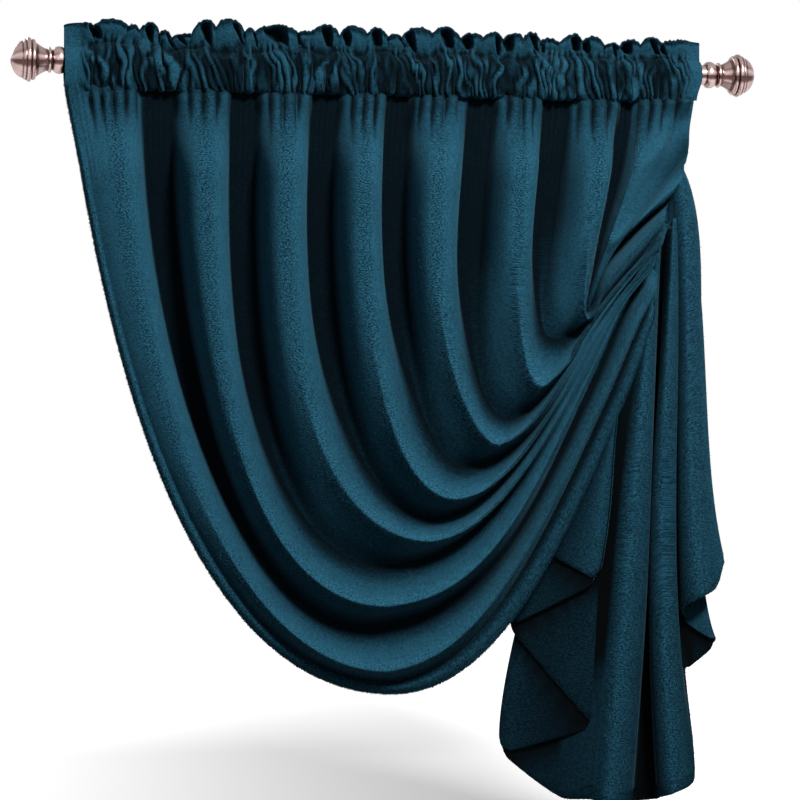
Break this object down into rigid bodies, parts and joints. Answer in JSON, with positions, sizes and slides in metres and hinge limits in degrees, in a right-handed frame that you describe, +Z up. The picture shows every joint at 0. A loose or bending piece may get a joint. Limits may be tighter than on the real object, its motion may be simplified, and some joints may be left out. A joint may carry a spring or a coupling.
{
  "type": "swag curtain with cascading tail on a curtain rod",
  "caption": "Velvet blackout swag curtain with a cascading tail at one side, shirred on a round metal curtain rod with turned finials.",
  "frame": {"origin": "on the rod axis, half way along the rod", "axes": "+X along the rod to the gathered side with the tail, +Z up, -Y the front that faces the room"},
  "size_m": [0.9448, 0.1133, 0.973],
  "materials": {
    "velvet": "matte teal velvet pile",
    "velvet_shade": "matte teal velvet pile",
    "metal": "satin nickel with a rosy cast"
  },
  "bodies": {
    "root": {"rod": "metal", "finial_left": "metal", "finial_right": "metal", "heading": "velvet", "swag_panel": "velvet", "tail_panel": "velvet_shade"}
  },
  "joints": []
}
